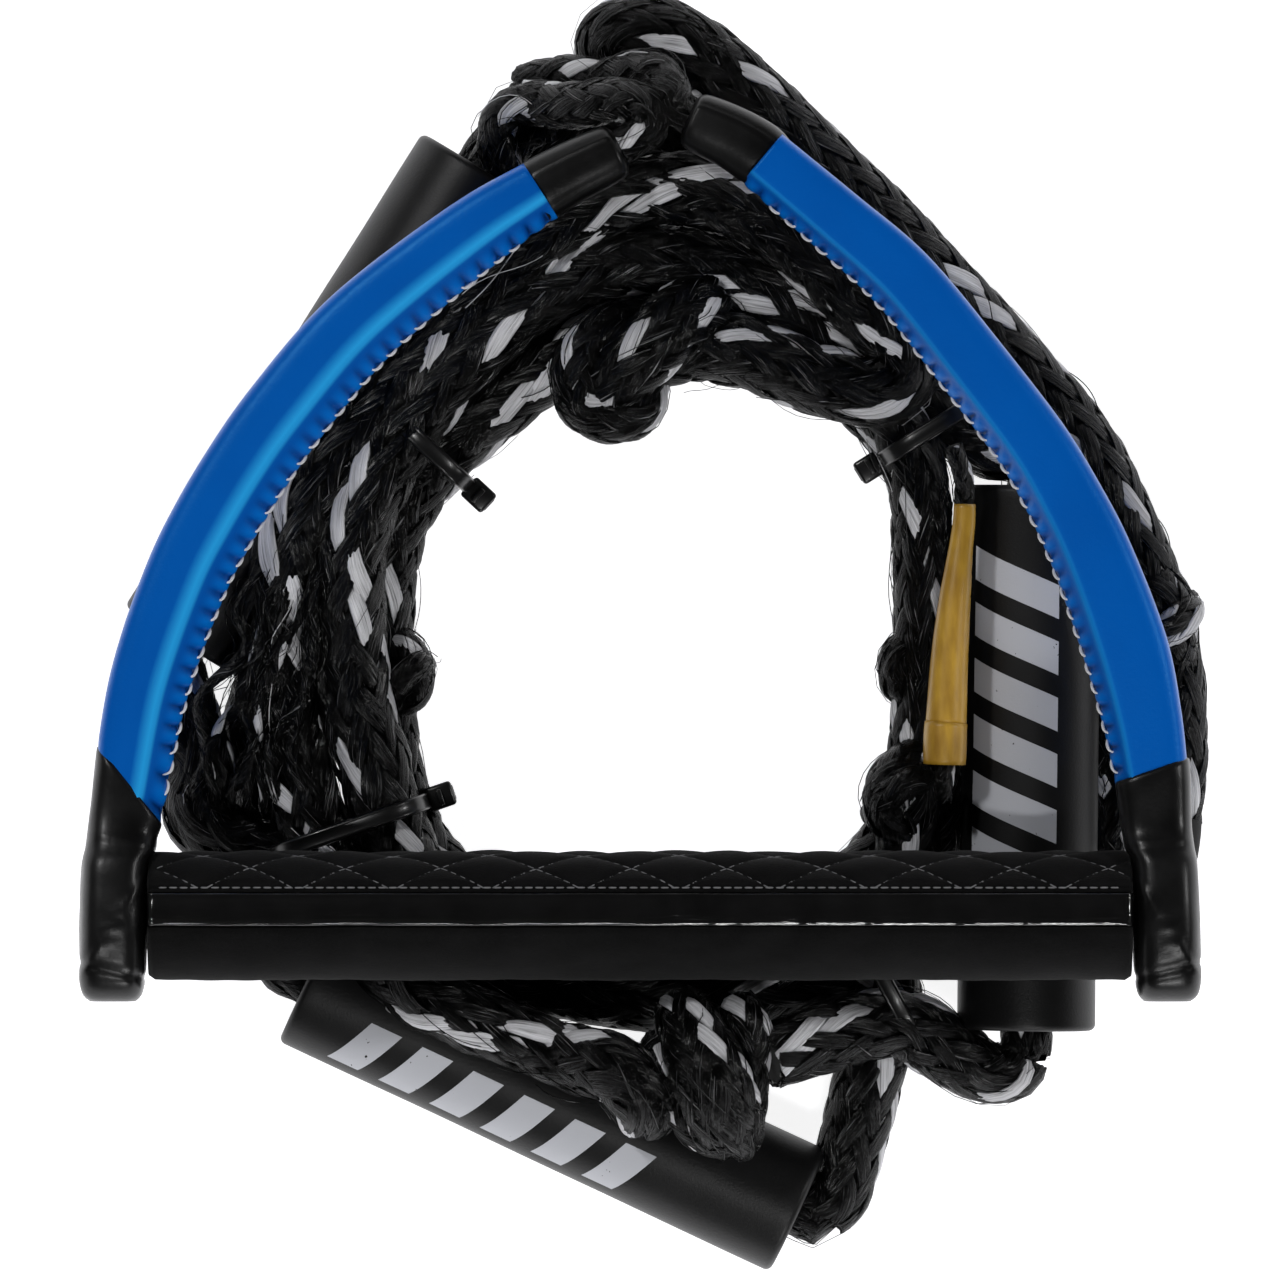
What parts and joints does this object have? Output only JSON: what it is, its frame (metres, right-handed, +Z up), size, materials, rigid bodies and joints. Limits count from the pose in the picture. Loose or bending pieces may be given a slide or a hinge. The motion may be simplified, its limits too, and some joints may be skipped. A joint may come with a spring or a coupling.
{
  "type": "tow rope handle",
  "caption": "Tow rope handle: padded grip bar between two curved covered arms, lying on its bundled braided rope with tubular foam floats threaded on it.",
  "frame": {"origin": "middle of the handle and the floats in plan, on the surface the bundle lies on", "axes": "+X along the grip bar to the end beside the float with its long side parallel to the arm, +Y from the grip bar to the tips of the arms, +Z up"},
  "size_m": [0.2906, 0.3305, 0.07],
  "materials": {
    "blue_leather": "satin blue synthetic leather",
    "black_rubber": "semi-gloss black",
    "core_foam": "dark grey closed-cell foam",
    "black_suede": "matte black",
    "glossy_seam": "gloss black",
    "black_eva": "satin black closed-cell foam",
    "braided_rope": "braided filament, black with white tracers",
    "aluminium": "extruded",
    "black_plastic": "moulded black",
    "yellow_label": "mustard yellow sleeve"
  },
  "bodies": {
    "rope_bundle": {"rope_bundle_left": "braided_rope", "rope_bundle_top": "braided_rope", "rope_bundle_right": "braided_rope", "rope_bundle_bottom": "braided_rope", "bridle_knot": "braided_rope", "top_knot": "braided_rope", "double_knot_left": "braided_rope", "double_knot_right": "braided_rope", "outer_knot": "braided_rope", "left_knot": "braided_rope", "right_knot_upper": "braided_rope", "right_knot_lower": "braided_rope", "leader_left": "braided_rope", "leader_right": "braided_rope", "outer_rope_start": "braided_rope", "outer_rope_run": "braided_rope", "outer_rope_end": "braided_rope", "label_cord": "braided_rope", "float_rope_1": "braided_rope", "float_rope_2": "braided_rope", "float_rope_3": "braided_rope", "tie_upper_left": "black_plastic", "tie_upper_right": "black_plastic", "tie_lower_left": "black_plastic", "tie_lower_right": "black_plastic", "label_sleeve": "yellow_label", "rope_end_cap": "black_rubber"},
    "handle": {"arm_cover_left": "blue_leather", "arm_cover_right": "blue_leather", "arm_foam_left": "core_foam", "arm_foam_right": "core_foam", "arm_tip_left": "black_rubber", "arm_tip_right": "black_rubber", "end_boot_left": "black_rubber", "end_boot_right": "black_rubber", "bridle_rope": "braided_rope"},
    "grip_bar": {"bar_tube": "aluminium", "bar_foam": "core_foam", "palm_pad": "black_suede", "seam_strip": "glossy_seam", "grip_cover": "black_suede", "bar_bush_left": "black_plastic", "bar_bush_right": "black_plastic"},
    "float_1": {"float_1": "black_eva"},
    "float_2": {"float_2": "black_eva"},
    "float_3": {"float_3": "black_eva"}
  },
  "joints": [
    {"name": "handle_lift", "type": "hinge", "parent": "rope_bundle", "child": "handle", "pos_m": [0, 0.1415, 0.057], "axis": [-1, 0, 0], "range_deg": [0, 110], "deforming": ["leader_left", "leader_right"]},
    {"name": "bar_roll", "type": "hinge", "parent": "handle", "child": "grip_bar", "pos_m": [0, -0.0592, 0.0535], "axis": [1, 0, 0], "range_deg": [-25, 25], "stiffness_Nm_per_rad": 0.4},
    {"name": "float_1_spin", "type": "hinge", "parent": "rope_bundle", "child": "float_1", "pos_m": [-0.08005, 0.07265, 0.01775], "axis": [-0.532, -0.8467, 0], "continuous": true},
    {"name": "float_2_spin", "type": "hinge", "parent": "rope_bundle", "child": "float_2", "pos_m": [0.1009, -0.0185, 0.018], "axis": [-0.0128, -0.9999, 0], "continuous": true},
    {"name": "float_3_spin", "type": "hinge", "parent": "rope_bundle", "child": "float_3", "pos_m": [-0.02265, -0.106, 0.0175], "axis": [0.9049, -0.4257, 0], "continuous": true}
  ]
}
